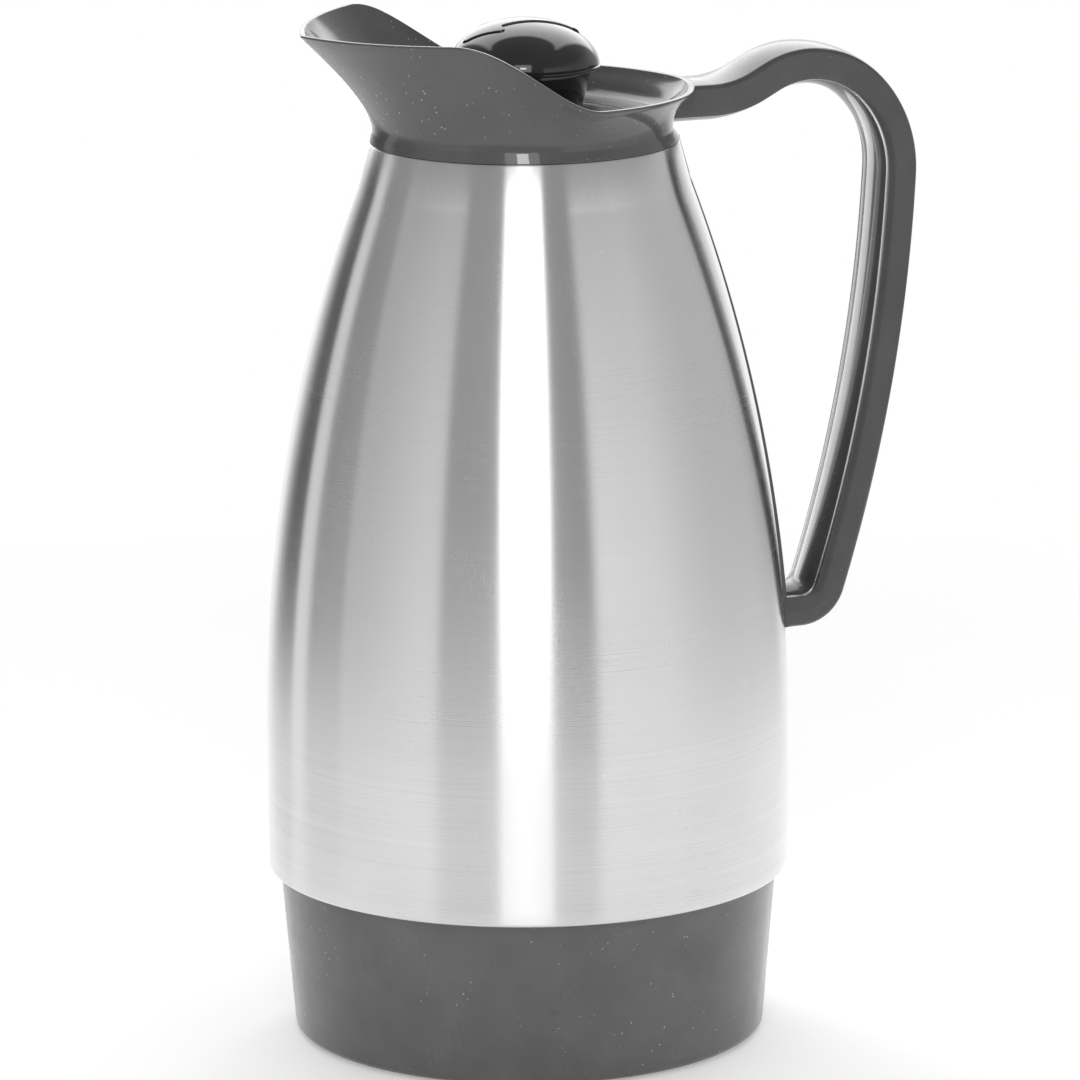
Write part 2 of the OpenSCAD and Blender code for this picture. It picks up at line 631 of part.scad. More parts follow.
module throat_insert() color(dark) {
    outer_r = throat_r + throat_wall;
    difference() {
        rotate_extrude() polygon([[ledge_r, throat_z], [outer_r, throat_z], [outer_r, floor_z - insert_t],
            [insert_r, floor_z - insert_t], [insert_r, floor_z - 0.4], [insert_r - 0.4, floor_z],
            [throat_r + 0.6, floor_z], [throat_r, floor_z - 0.6], [throat_r, throat_z + ledge_t],
            [ledge_r, throat_z + ledge_t]]);
        at_screws(collar_screw_ring_r) translate([0, 0, floor_z - insert_t - 1])
            cylinder(h = insert_t + 0.2, r = collar_screw_r, $fn = 48);
    }
    for (i = [0:thread_starts - 1])
        ridge(ridge_in_r, throat_r + bite, i * 360 / thread_starts, throat_ridge_deg, ridge_z);
}

module neck_clamp_ring() color(grey_plastic) difference() {
    union() {
        translate([0, 0, neck_z - shell_t - clamp_t])
            cylinder(h = clamp_t, r = neck_r - shell_t - 2 * loose_gap);
        translate([0, 0, neck_z - shell_t - bite])
            cylinder(h = shell_t + bite, r = neck_r - flange_in - loose_gap);
    }
    translate([0, 0, neck_z - shell_t - clamp_t - 1]) cylinder(h = clamp_t + shell_t + 2, r = clamp_in_r);
    at_screws(collar_screw_ring_r) translate([0, 0, neck_z - shell_t - clamp_t - 1])
        cylinder(h = clamp_t + shell_t + 2, r = collar_screw_r + loose_gap, $fn = 48);
}

module collar_screws() color(steel) at_screws(collar_screw_ring_r)
    translate([0, 0, neck_z - shell_t - clamp_t]) {
        translate([0, 0, -collar_head_h]) cylinder(h = collar_head_h, r = collar_head_r, $fn = 48);
        translate([0, 0, -bite])
            cylinder(h = bite + clamp_t + shell_t + collar_floor_h - 0.9, r = collar_screw_r, $fn = 48);
    }

// What the handle's ends are cut to: the collar's outside and the spine's outside
module collar_body() loop_solid([for (a = [0:collar_step:359]) collar_outer_loop(half_turn(a))]);
spine_margin = 0.4;
spine_from = foot_z - side_half - outer_crown - spine_margin;
module spine_body() rotate_extrude() polygon(concat([[0, spine_from]],
    shell_line(spine_from, neck_z, spine_foot_t, spine_top_t), [[0, neck_z]]));

module foot_hole(r) translate([0, 0, foot_z]) rotate([0, 90, 0])
    cylinder(h = shell_r + foot_screw_l, r = r, $fn = 48);
foot_screw_l = 11;
foot_boss_l = 10;

// A line beside the handle's route, this far out from it
function beside(out) = [for (p = handle_poses) [p[0] - out * sin(p[2]), p[1] + out * cos(p[2])]];

module handle_shell() color(dark) {
    difference() {
        handle_sweep(shell_section);
        rotate([90, 0, 0]) linear_extrude(height = 2 * mouth_half, center = true)
            polygon(concat(beside(channel_top), back(beside(-side_half - 1))));
        collar_body();
        spine_body();
    }
    // Boss for the foot screw, inside the channel
    difference() {
        translate([shell_r, -mouth_half - bite, foot_z - channel_top - bite])
            cube([foot_boss_l, 2 * (mouth_half + bite),
                  channel_top + bite + side_half - cover_t - loose_gap]);
        spine_body();
        foot_hole(foot_screw_r);
    }
}

module handle_cover() color(dark) difference() {
    handle_sweep(cover_section);
    collar_body();
    spine_body();
}

module handle_spine() color(dark) difference() {
    intersection() {
        rotate_extrude() polygon(concat(shell_line(spine_from, neck_z - loose_gap, 0, 0),
            back(shell_line(spine_from, neck_z - loose_gap, spine_foot_t, spine_top_t))));
        translate([0, -half_w, spine_from]) cube([2 * shell_r, handle_w, shell_h]);
    }
    foot_hole(foot_screw_r + loose_gap);
}

plate_t = 1.2;
plate_half = 9;
plate_out = -shell_t - run_gap;
plate_from = foot_z - plate_half;
plate_to = foot_z + plate_half;
shell_in_r = shell_at(foot_z) - shell_t;
module foot_plate() color(steel) difference() {
    intersection() {
        rotate_extrude() polygon(concat(
            shell_line(plate_from, plate_to, plate_out, plate_out),
            back(shell_line(plate_from, plate_to, plate_out - plate_t, plate_out - plate_t))));
        translate([0, -plate_half, plate_from]) cube([shell_r, 2 * plate_half, 2 * plate_half]);
    }
    foot_hole(foot_screw_r + loose_gap);
}

module foot_screw() color(steel) translate([shell_in_r - plate_t - 0.4, 0, foot_z]) rotate([0, 90, 0]) {
    translate([0, 0, -1.6 * foot_screw_r])
        cylinder(h = 1.6 * foot_screw_r, r = 1.9 * foot_screw_r, $fn = 48);
    translate([0, 0, -bite]) cylinder(h = foot_screw_l + bite, r = foot_screw_r, $fn = 48);
}

module stopper_dome() color(dark) difference() {
    union() {
        difference() {
            dome_solid(0);
            rotate_extrude() polygon(concat([[0, dome_z - 1], [dome_r - dome_wall, dome_z - 1]],
                [for (i = [0:dome_steps]) let (a = 90 * i / dome_steps)
                    [(dome_r - dome_wall) * cos(a), dome_z + (dome_h - dome_top_wall) * sin(a)]]));
        }
        // Rib that stands on the plug's top plate
        translate([0, 0, plug_top_z]) difference() {
            cylinder(h = 1.4, r = dome_r - dome_wall + 0.3);
            translate([0, 0, -1]) cylinder(h = 4, r = dome_r - dome_wall - 2.2);
        }
        // Ears that hold the hinge pin
        intersection() {
            dome_solid(0);
            translate([hinge_x - barrel_r, -pin_half - 1, hinge_z - barrel_r])
                cube([2 * barrel_r + 1, 2 * pin_half + 2, dome_h]);
        }
    }
    // Recess for the lid, slot for its barrel, hole for the pin and hole for the button
    intersection() {
        difference() {
            translate([0, 0, dome_z]) cylinder(h = 2 * dome_h, r = dome_r + 1);
            dome_solid(recess_under);
        }
        translate([0, 0, dome_z]) linear_extrude(height = 2 * dome_h) arrow(seat_gap);
    }
    across_hinge(barrel_r + 0.5, tail_half + seat_gap);
    across_hinge(pin_r, pin_half);
    translate([0, 0, dome_z]) cylinder(h = 2 * dome_h, r = button_r + run_gap, $fn = 48);
}

module stopper_plug() color(dark) {
    cap_r = dome_r - dome_wall - 0.2;
    difference() {
        union() {
            rotate_extrude() polygon([[0, plug_end_z], [plug_lip_r, plug_end_z],
                [plug_lip_r, plug_lip_top], [spigot_r, plug_lip_top],
                [spigot_r, plug_step_z], [plug_r, plug_step_z], [plug_r, stem_foot_z],
                [cap_r, plug_top_z - plug_plate_t], [cap_r, plug_top_z], [0, plug_top_z]]);
        }
        difference() {
            rotate_extrude() polygon([[0, valve_seat_z], [spigot_r - plug_wall, valve_seat_z],
                [spigot_r - plug_wall, plug_step_z], [plug_r - plug_wall, plug_step_z + plug_wall],
                [plug_r - plug_wall, stem_foot_z], [cap_r - plug_wall - 0.6, plug_top_z - plug_plate_t],
                [0, plug_top_z - plug_plate_t]]);
            // Spring well, left standing in the hollow
            translate([0, 0, well_z - well_wall])
                cylinder(h = plug_top_z, r = well_r + well_wall, $fn = 48);
        }
        translate([0, 0, well_z]) cylinder(h = plug_top_z, r = well_r, $fn = 48);
        translate([0, 0, well_z - 2 * well_wall]) cylinder(h = 3 * well_wall, r = rod_r + run_gap, $fn = 48);
        translate([0, 0, plug_end_z - 1])
            cylinder(h = valve_seat_z - plug_end_z + 2, r = port_r, $fn = 48);
        // Pouring window towards the spout
        translate([-2 * plug_r, -window_half, window_z]) cube([1.4 * plug_r, 2 * window_half, window_h]);
    }
    for (i = [0:thread_starts - 1])
        ridge(plug_r - bite, ridge_out_r, i * 360 / thread_starts, plug_ridge_deg, plug_ridge_z);
}
window_half = 7.5;
window_z = floor_z + 2.4;
window_h = plug_top_z - plug_plate_t - window_z - 2;

module stopper_seal() color(rubber) translate([0, 0, seal_z]) difference() {
    cylinder(h = seal_t, r = plug_r);
    translate([0, 0, -1]) cylinder(h = seal_t + 2, r = spigot_r + run_gap);
}

module flip_lid() color(dark) difference() {
    union() {
        intersection() {
            difference() {
                dome_solid(lid_proud);
                dome_solid(lid_under);
            }
            translate([0, 0, dome_z]) linear_extrude(height = 2 * dome_h) arrow(0);
        }
        across_hinge(barrel_r, tail_half);
    }
    across_hinge(pin_r + run_gap, pin_half);
}

module lid_hinge_pin() color(steel) across_hinge(pin_r, pin_half - 0.2);

module valve_rod() color(grey_plastic) {
    translate([0, 0, valve_z - 1.6]) cylinder(h = 1.6, r = valve_head_r, $fn = 48);
    translate([0, 0, valve_z - bite]) cylinder(h = valve_t + 2 * bite, r = rod_spigot_r, $fn = 48);
    translate([0, 0, valve_z + valve_t]) cylinder(h = button_top_z - valve_z - valve_t, r = rod_r, $fn = 48);
    translate([0, 0, rod_collar_z]) cylinder(h = rod_collar_t, r = rod_collar_r, $fn = 48);
    translate([0, 0, rod_collar_z]) cylinder(h = button_top_z - rod_collar_z, r = button_r, $fn = 48);
}

module valve_disc() color(rubber) translate([0, 0, valve_z]) difference() {
    cylinder(h = valve_t, r = valve_r, $fn = 64);
    translate([0, 0, -1]) cylinder(h = valve_t + 2, r = rod_spigot_r, $fn = 48);
}

// The wire's ends lie half a wire inside the well's floor and the rod's collar faces
module valve_spring() color(steel) {
    m = 6;
    steps = 12 * spring_turns;
    low = well_z + spring_wire_r;
    high = rod_collar_z - spring_wire_r;
    points = [for (i = [0:steps]) let (a = 30 * i, z = low + (high - low) * i / steps) for (k = [0:m - 1])
        let (b = 360 * k / m, r = spring_r + spring_wire_r * cos(b))
        [r * cos(a), r * sin(a), z + spring_wire_r * sin(b)]];
    sides = [for (i = [0:steps - 1]) for (k = [0:m - 1])
        let (a = i * m + k, b = i * m + (k + 1) % m, c = a + m, d = b + m) each [[a, b, d], [a, d, c]]];
    polyhedron(points, concat([[for (k = [m - 1:-1:0]) k]], sides, [[for (k = [0:m - 1]) steps * m + k]]));
}

base_cup();
foot_pad();
base_screws();
shell_ring();
steel_shell();
flask_cushion();
flask_outer_wall();
flask_inner_wall();
flask_spacers();
neck_gasket();
collar();
throat_insert();
neck_clamp_ring();
collar_screws();
handle_shell();
handle_cover();
handle_spine();
foot_screw();
foot_plate();
stopper_dome();
stopper_plug();
stopper_seal();
flip_lid();
lid_hinge_pin();
valve_rod();
valve_disc();
valve_spring();
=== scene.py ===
import json
from math import atan2, cos, hypot, pi, radians, sin, sqrt, tan

import bmesh
import bpy
from mathutils import Matrix, Vector


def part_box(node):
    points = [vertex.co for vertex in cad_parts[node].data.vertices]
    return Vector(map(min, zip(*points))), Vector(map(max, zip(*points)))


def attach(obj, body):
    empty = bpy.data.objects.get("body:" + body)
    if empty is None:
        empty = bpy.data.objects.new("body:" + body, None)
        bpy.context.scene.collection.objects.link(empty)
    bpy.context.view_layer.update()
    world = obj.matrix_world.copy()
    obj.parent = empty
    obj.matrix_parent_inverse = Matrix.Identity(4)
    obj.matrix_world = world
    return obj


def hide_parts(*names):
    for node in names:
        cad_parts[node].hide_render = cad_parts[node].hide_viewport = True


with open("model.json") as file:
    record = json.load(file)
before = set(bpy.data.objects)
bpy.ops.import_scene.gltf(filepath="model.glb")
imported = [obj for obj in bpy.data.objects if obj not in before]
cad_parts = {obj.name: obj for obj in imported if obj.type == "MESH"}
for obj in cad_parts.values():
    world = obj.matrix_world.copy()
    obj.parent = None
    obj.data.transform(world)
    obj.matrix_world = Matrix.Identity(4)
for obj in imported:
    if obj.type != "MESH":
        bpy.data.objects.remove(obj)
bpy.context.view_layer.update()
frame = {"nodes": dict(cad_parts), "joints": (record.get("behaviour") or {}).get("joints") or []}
mm = 0.001


# Sizes in this script are millimetres. A mesh is scaled to metres when its piece is made.
def boxOf(node):
    low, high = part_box(node)
    return low / mm, high / mm


steelLow, steelHigh = boxOf("steel_shell")
baseTop, neckZ, shellR = steelLow.z, steelHigh.z, steelHigh.y
domeLow, domeHigh = boxOf("stopper_dome")
print("frame loaded:", len(frame["nodes"]), "nodes")


# Mesh helpers

def arc(centreR, centreZ, radius, fromDeg, toDeg, count):
    turns = [radians(fromDeg + (toDeg - fromDeg) * i / count) for i in range(count + 1)]
    return [(centreR + radius * cos(t), centreZ + radius * sin(t)) for t in turns]


def tidyMesh(bm):
    bmesh.ops.remove_doubles(bm, verts=bm.verts, dist=1e-4)
    bmesh.ops.recalc_face_normals(bm, faces=bm.faces)
    return bm


def chain(bm, points, closed):
    verts = [bm.verts.new(point) for point in points]
    ends = verts[1:] + verts[:1] if closed else verts[1:]
    edges = [bm.edges.new(pair) for pair in zip(verts, ends)]
    return verts, edges


def lathe(outline, steps, closed=False):
    bm = bmesh.new()
    verts, edges = chain(bm, [(r, 0, z) for r, z in outline], closed)
    bmesh.ops.spin(bm, geom=verts + edges, cent=(0, 0, 0), axis=(0, 0, 1), angle=2 * pi, steps=steps,
                   use_merge=True)
    return tidyMesh(bm)


def tempObject(bm):
    mesh = bpy.data.meshes.new("temp")
    bm.to_mesh(mesh)
    bm.free()
    item = bpy.data.objects.new("temp", mesh)
    bpy.context.scene.collection.objects.link(item)
    return item


def cutAway(bm, cutters):
    body = tempObject(bm)
    tools = [tempObject(cutter) for cutter in cutters]
    for tool in tools:
        cut = body.modifiers.new("cut", "BOOLEAN")
        cut.operation, cut.solver, cut.object = "DIFFERENCE", "EXACT", tool
    result = bmesh.new()
    result.from_object(body, bpy.context.evaluated_depsgraph_get())
    for item in [body] + tools:
        bpy.data.objects.remove(item)
    bmesh.ops.remove_doubles(result, verts=result.verts, dist=1e-4)
    return result


def bevelEdges(bm, edges, width, segments):
    bmesh.ops.bevel(bm, geom=edges, offset=width, segments=segments, profile=0.5, affect="EDGES",
                    material=-1, clamp_overlap=True)


def makePiece(name, bm, body, material, replaced, sharpDeg=32):
    bmesh.ops.scale(bm, vec=(mm, mm, mm), verts=bm.verts)
    mesh = bpy.data.meshes.new(name)
    bm.to_mesh(mesh)
    bm.free()
    mesh.shade_smooth()
    mesh.set_sharp_from_angle(angle=radians(sharpDeg))
    mesh.materials.append(material)
    piece = bpy.data.objects.new(name, mesh)
    bpy.context.scene.collection.objects.link(piece)
    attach(piece, body)
    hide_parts(replaced)
    return piece


# Material helpers

def newMaterial(name, color, roughness, metallic=0.0):
    material = bpy.data.materials.new(name)
    material.use_nodes = True
    shader = material.node_tree.nodes["Principled BSDF"]
    shader.inputs["Base Color"].default_value = (*color, 1)
    shader.inputs["Roughness"].default_value = roughness
    shader.inputs["Metallic"].default_value = metallic
    return material, shader


def addNode(tree, kind, values=None, **settings):
    item = tree.nodes.new("ShaderNode" + kind)
    for key, value in settings.items():
        setattr(item, key, value)
    for key, value in (values or {}).items():
        if isinstance(value, bpy.types.NodeSocket):
            tree.links.new(value, item.inputs[key])
        else:
            item.inputs[key].default_value = value
    return item


def objectCoords(tree, scale, turn=(0, 0, 0)):
    coords = addNode(tree, "TexCoord").outputs["Object"]
    return addNode(tree, "Mapping", {"Vector": coords, "Scale": scale, "Rotation": turn}).outputs[0]


def noise(tree, scale, detail=3, roughness=0.55, stretch=(1, 1, 1), turn=(0, 0, 0), distortion=0.0):
    vector = objectCoords(tree, tuple(scale * s for s in stretch), turn)
    return addNode(tree, "TexNoise", {"Vector": vector, "Scale": 1, "Detail": detail, "Roughness": roughness,
                                      "Distortion": distortion}).outputs["Fac"]


def mapRange(tree, value, low, high, toLow=0.0, toHigh=1.0):
    return addNode(tree, "MapRange", {"Value": value, "From Min": low, "From Max": high,
                                      "To Min": toLow, "To Max": toHigh}).outputs[0]


def combine(tree, operation, first, second):
    return addNode(tree, "Math", {0: first, 1: second}, operation=operation).outputs[0]


def mixColor(tree, factor, first, second):
    item = addNode(tree, "Mix", {"Factor": factor}, data_type="RGBA")
    for socket, color in ((item.inputs[6], first), (item.inputs[7], second)):
        if isinstance(color, bpy.types.NodeSocket):
            tree.links.new(color, socket)
        else:
            socket.default_value = (*color, 1)
    return item.outputs[2]


def addBump(tree, shader, height, strength, distance):
    bump = addNode(tree, "Bump", {"Height": height, "Strength": strength, "Distance": distance})
    tree.links.new(bump.outputs[0], shader.inputs["Normal"])


# Specks of dust: small round cells, kept only where a broad noise is high
def dustSpecks(tree, cellScale, size, cover):
    cells = addNode(tree, "TexVoronoi", {"Vector": objectCoords(tree, (cellScale,) * 3), "Scale": 1})
    speck = mapRange(tree, cells.outputs["Distance"], size, size * 0.5)
    some = mapRange(tree, cells.outputs["Color"], 1 - cover, 1 - cover + 0.02)
    patch = mapRange(tree, noise(tree, 45, detail=2), 0.45, 0.6)
    return combine(tree, "MULTIPLY", combine(tree, "MULTIPLY", speck, some), patch)


# Hair scratches: thin lines where a stretched noise crosses its middle
def scratches(tree, scale, stretch, turn, width):
    lines = noise(tree, scale, detail=2, stretch=stretch, turn=turn, distortion=0.3)
    offMiddle = combine(tree, "ABSOLUTE", combine(tree, "SUBTRACT", lines, 0.5), 0)
    line = mapRange(tree, offMiddle, width, 0.0)
    patch = mapRange(tree, noise(tree, 60, detail=2, turn=(0.4, 0.2, 0)), 0.56, 0.64)
    return combine(tree, "MULTIPLY", line, patch)


steelLook = {"color": (0.80, 0.80, 0.80), "worn": (0.88, 0.88, 0.88), "dust": (0.95, 0.95, 0.95),
             "grooveTone": 0.97, "roughness": 0.24, "roughSwing": 0.03, "anisotropic": 1.0,
             "grainPerMetre": 2400, "brushBump": 0.022, "markTone": 0.35, "markRough": 0.05, "markBump": 0.2}


def brushedSteel():
    look = steelLook
    material, shader = newMaterial("brushedSteel", look["color"], look["roughness"], 1.0)
    tree = material.node_tree
    brush = noise(tree, 1, detail=3, roughness=0.6, stretch=(3, 3, look["grainPerMetre"]))
    cloudy = noise(tree, 18, detail=3)
    upright = scratches(tree, 30, (30, 30, 1), (0.05, 0.03, 0), 0.005)
    slanted = scratches(tree, 34, (9, 9, 1), (0.5, 0.35, 0.2), 0.004)
    marks = combine(tree, "MAXIMUM", upright, slanted)
    dots = dustSpecks(tree, 230, 0.10, 0.12)
    groove = tuple(c * look["grooveTone"] for c in look["color"])
    tone = mixColor(tree, mapRange(tree, brush, 0.3, 0.7), look["color"], groove)
    tone = mixColor(tree, combine(tree, "MULTIPLY", marks, look["markTone"]), tone, look["worn"])
    tone = mixColor(tree, dots, tone, look["dust"])
    tree.links.new(tone, shader.inputs["Base Color"])
    lowRough, highRough = look["roughness"] - look["roughSwing"], look["roughness"] + look["roughSwing"]
    streaks = mapRange(tree, brush, 0.25, 0.75, lowRough, highRough)
    smudged = combine(tree, "ADD", streaks, mapRange(tree, cloudy, 0.3, 0.7, -0.02, 0.03))
    rough = combine(tree, "ADD", smudged, combine(tree, "MULTIPLY", marks, look["markRough"]))
    tree.links.new(rough, shader.inputs["Roughness"])
    shader.inputs["Anisotropic"].default_value = look["anisotropic"]
    shader.inputs["Anisotropic Rotation"].default_value = 0.25
    height = combine(tree, "ADD", brush, combine(tree, "MULTIPLY", marks, look["markBump"]))
    addBump(tree, shader, height, look["brushBump"], 0.0002)
    return material


def mouldedPlastic(name, color, roughness, gloss, dust, scuffs, grain=0.02):
    material, shader = newMaterial(name, color, roughness)
    tree = material.node_tree
    cloudy = mapRange(tree, noise(tree, 40, detail=4), 0.35, 0.65)
    tone = mixColor(tree, cloudy, tuple(c * 0.88 for c in color), tuple(c * 1.12 for c in color))
    lines = combine(tree, "MAXIMUM", scratches(tree, 70, (9, 1, 1), (0.3, 0.5, 0.9), 0.012),
                    scratches(tree, 60, (1, 8, 2), (0.9, 0.1, 0.4), 0.010))
    scuffed = tuple(min(1, c * 2.6 + 0.03) for c in color)
    tone = mixColor(tree, combine(tree, "MULTIPLY", lines, scuffs), tone, scuffed)
    tone = mixColor(tree, dustSpecks(tree, 620, 0.16, dust), tone, (0.62, 0.62, 0.6))
    tree.links.new(tone, shader.inputs["Base Color"])
    smudges = mapRange(tree, noise(tree, 90, detail=4), 0.3, 0.7, roughness * 0.8, roughness * 1.25)
    tree.links.new(smudges, shader.inputs["Roughness"])
    shader.inputs["Specular IOR Level"].default_value = 0.2
    shader.inputs["Coat Weight"].default_value = gloss
    shader.inputs["Coat Roughness"].default_value = 0.03
    peel = combine(tree, "ADD", noise(tree, 900, detail=2), combine(tree, "MULTIPLY", noise(tree, 140), 2.0))
    addBump(tree, shader, peel, grain, 0.0002)
    return material


def plainFinish(name, color, roughness, metallic, bumpScale, bumpStrength):
    material, shader = newMaterial(name, color, roughness, metallic)
    tree = material.node_tree
    cloudy = mapRange(tree, noise(tree, bumpScale * 0.2), 0.35, 0.65)
    tone = mixColor(tree, cloudy, tuple(c * 0.92 for c in color), tuple(min(1, c * 1.06) for c in color))
    tree.links.new(tone, shader.inputs["Base Color"])
    rough = mapRange(tree, noise(tree, bumpScale * 0.5), 0.3, 0.7, roughness * 0.85, roughness * 1.15)
    tree.links.new(rough, shader.inputs["Roughness"])
    addBump(tree, shader, noise(tree, bumpScale, detail=4), bumpStrength, 0.0001)
    return material


def silveredGlass():
    material, shader = newMaterial("silveredGlass", (0.86, 0.87, 0.88), 0.05, 1.0)
    tree = material.node_tree
    rough = mapRange(tree, noise(tree, 120, detail=4), 0.3, 0.7, 0.03, 0.1)
    tree.links.new(rough, shader.inputs["Roughness"])
    shader.inputs["Coat Weight"].default_value = 1.0
    shader.inputs["Coat Roughness"].default_value = 0.02
    addBump(tree, shader, noise(tree, 30, detail=2), 0.1, 0.0005)
    return material


steelFinish = brushedSteel()
charcoal = mouldedPlastic("charcoalPlastic", (0.095, 0.095, 0.097), 0.32, 0.8, dust=0.5, scuffs=0.1)
cupFinish = mouldedPlastic("cupPlastic", (0.135, 0.135, 0.137), 0.34, 0.6, dust=0.4, scuffs=0.1)
handleFinish = mouldedPlastic("handlePlastic", (0.078, 0.078, 0.08), 0.3, 0.8, dust=0.25, scuffs=0.1)
glossBlack = mouldedPlastic("glossBlackPlastic", (0.014, 0.014, 0.015), 0.12, 1.0, dust=0.1, scuffs=0.3)
hiddenPlastic = mouldedPlastic("greyPlastic", (0.3, 0.3, 0.31), 0.4, 0.1, dust=0.0, scuffs=0.2)
rubber = plainFinish("blackRubber", (0.028, 0.028, 0.028), 0.7, 0.0, 1500, 0.3)
screwSteel = plainFinish("screwSteel", (0.62, 0.62, 0.63), 0.22, 1.0, 2500, 0.08)
glassFinish = silveredGlass()
print("materials made")


# Steel shell: upright below, one long arc, then a short cone up to the collar
steelShape = {"neckR": 41.4, "upright": 39, "neckRun": 11.8, "neckLean": 14.7, "wall": 0.6, "flangeIn": 5.6,
              "footRoll": 0.9, "topRound": 0.45, "bendLevels": 90, "steps": 288}
bendZ = baseTop + steelShape["upright"]
neckFootZ = neckZ - steelShape["neckRun"]
coneSlope = tan(radians(steelShape["neckLean"]))
neckFootR = steelShape["neckR"] + steelShape["neckRun"] * coneSlope
bendDrop = shellR - neckFootR
bendR = (bendDrop ** 2 + (neckFootZ - bendZ) ** 2) / (2 * bendDrop)


def steelAt(z):
    if z <= bendZ:
        return shellR
    if z < neckFootZ:
        return shellR - bendR + sqrt(bendR ** 2 - (z - bendZ) ** 2)
    return steelShape["neckR"] + (neckZ - z) * coneSlope


def makeSteelShell():
    shape = steelShape
    roll, wall = shape["footRoll"], shape["wall"]
    levels = [bendZ + (neckFootZ - bendZ) * i / shape["bendLevels"] for i in range(shape["bendLevels"] + 1)]
    topR = shape["topRound"]
    outer = arc(shellR - roll, baseTop + roll, roll, -90, 0, 8)
    outer += [(shellR, baseTop + 4), (shellR, baseTop + 20)] + [(steelAt(z), z) for z in levels]
    outer.append((steelAt(neckZ - topR), neckZ - topR))
    outer += arc(shape["neckR"] - topR, neckZ - topR, topR, 0, 90, 5)[1:]
    inner = [(steelAt(z) - wall, z) for z in levels[::6]]
    outline = [(shellR - shape["flangeIn"], baseTop)] + outer + [
        (shape["neckR"] - shape["flangeIn"], neckZ), (shape["neckR"] - shape["flangeIn"], neckZ - wall),
        (steelAt(neckZ - wall) - wall, neckZ - wall)] + inner[::-1] + [
        (shellR - wall, baseTop + 2 * wall), (shellR - shape["flangeIn"], baseTop + wall)]
    return makePiece("steelShell", lathe(outline, shape["steps"], closed=True), "jug", steelFinish,
                     "steel_shell")


# Collar: a flared bowl whose rim runs out into the spout. Angle 0 is at the handle and 180 at the spout.
collarShape = {"waistH": 3.4, "waistIn": 1.15, "waistShift": -0.6, "rearRimH": 13.7, "sideRimH": 32.8,
               "tipDip": 1.5, "rearFlare": 3.8, "sideFlare": 12.6, "spoutReach": 7.9, "handleBlend": 1.4,
               "cheekFrom": 82, "cheekTo": 130, "tipFrom": 120, "tipPower": 1.7, "blendWidth": 25,
               "wall": 2, "rimWall": 1.0, "edgeR": 0.4, "floorH": 5.8, "fillet": 2.6, "seatR": 30,
               "seatDrop": 2, "boreR": 20.9, "bandH": 2.9, "levels": 20, "steps": 240,
               "bandFoot": [(-0.6, 0.05), (-0.15, 0.12), (0.02, 0.3), (-0.05, 0.5)],
               "bowlDepths": [0.86, 0.72, 0.56, 0.42, 0.3, 0.2, 0.12, 0.06, 0.02], "bowlTop": 0.9}
floorZ = neckZ + collarShape["floorH"]


def ease(share):
    held = max(0, min(1, share))
    return held * held * (3 - 2 * held)


def rimOf(angle):
    shape = collarShape
    cheek = ease((angle - shape["cheekFrom"]) / (shape["cheekTo"] - shape["cheekFrom"]))
    toTip = max(0, (angle - shape["tipFrom"]) / (180 - shape["tipFrom"]))
    nearHandle = cos(radians(angle * 90 / shape["blendWidth"])) ** 2 if angle < shape["blendWidth"] else 0
    radius = steelShape["neckR"] + shape["rearFlare"] + (shape["sideFlare"] - shape["rearFlare"]) * cheek
    radius += shape["spoutReach"] * toTip ** shape["tipPower"] + shape["handleBlend"] * nearHandle
    height = neckZ + shape["rearRimH"] + (shape["sideRimH"] - shape["rearRimH"]) * cheek
    return radius, height - shape["tipDip"] * toTip


def wallAt(angle, z):
    shape = collarShape
    rimR, rimZ = rimOf(angle)
    waistR = steelShape["neckR"] - shape["waistIn"] + shape["waistShift"] * cos(radians(angle))
    power = 1.38 + 0.36 * (1 + cos(radians(angle)))
    run = rimZ - 0.7 - neckZ - shape["waistH"]
    share = max(0, min(1, (z - neckZ - shape["waistH"]) / run))
    outside = waistR + (rimR - waistR) * share ** power
    slope = (rimR - waistR) * power * share ** (power - 1) / run
    thick = shape["wall"] + (shape["rimWall"] - shape["wall"]) * share ** 2
    return outside, outside - thick * sqrt(1 + slope * slope)


def bowlAt(angle, z):
    shape = collarShape
    share = min(1, max(0, (z - floorZ) / shape["fillet"]))
    room = wallAt(angle, floorZ)[1] - shape["seatR"]
    return wallAt(angle, z)[1] - room * (1 - sqrt(1 - (1 - share) ** 2))


def collarLoop(angle):
    shape = collarShape
    neckR = steelShape["neckR"]
    rimR, rimZ = rimOf(angle)
    edge = shape["edgeR"]
    bandTop = neckZ + shape["bandH"]
    waistR = wallAt(angle, bandTop)[0]
    wallTop = rimZ - edge - 0.05
    loop = [(neckR + out, neckZ + up) for out, up in shape["bandFoot"]]
    loop += [(waistR + 0.06, bandTop - 0.1), (waistR, bandTop + 0.08)]
    count = shape["levels"]
    rise = wallTop - bandTop - 0.2
    loop += [(wallAt(angle, bandTop + 0.2 + rise * i / count)[0], bandTop + 0.2 + rise * i / count)
             for i in range(count + 1)]
    loop += arc(rimR - edge + 0.05, rimZ - edge, edge, -20, 90, 7)
    top = rimZ - shape["bowlTop"]
    innerR = bowlAt(angle, top)
    loop += arc(innerR + edge + 0.1, rimZ - edge, edge, 90, 160, 5)
    heights = [floorZ + share * (top - floorZ) for share in shape["bowlDepths"]]
    loop += [(bowlAt(angle, z), z) for z in heights]
    loop += [(shape["seatR"], floorZ), (shape["seatR"], floorZ - shape["seatDrop"]),
             (shape["boreR"], floorZ - shape["seatDrop"]), (shape["boreR"], neckZ + 0.05)]
    return loop


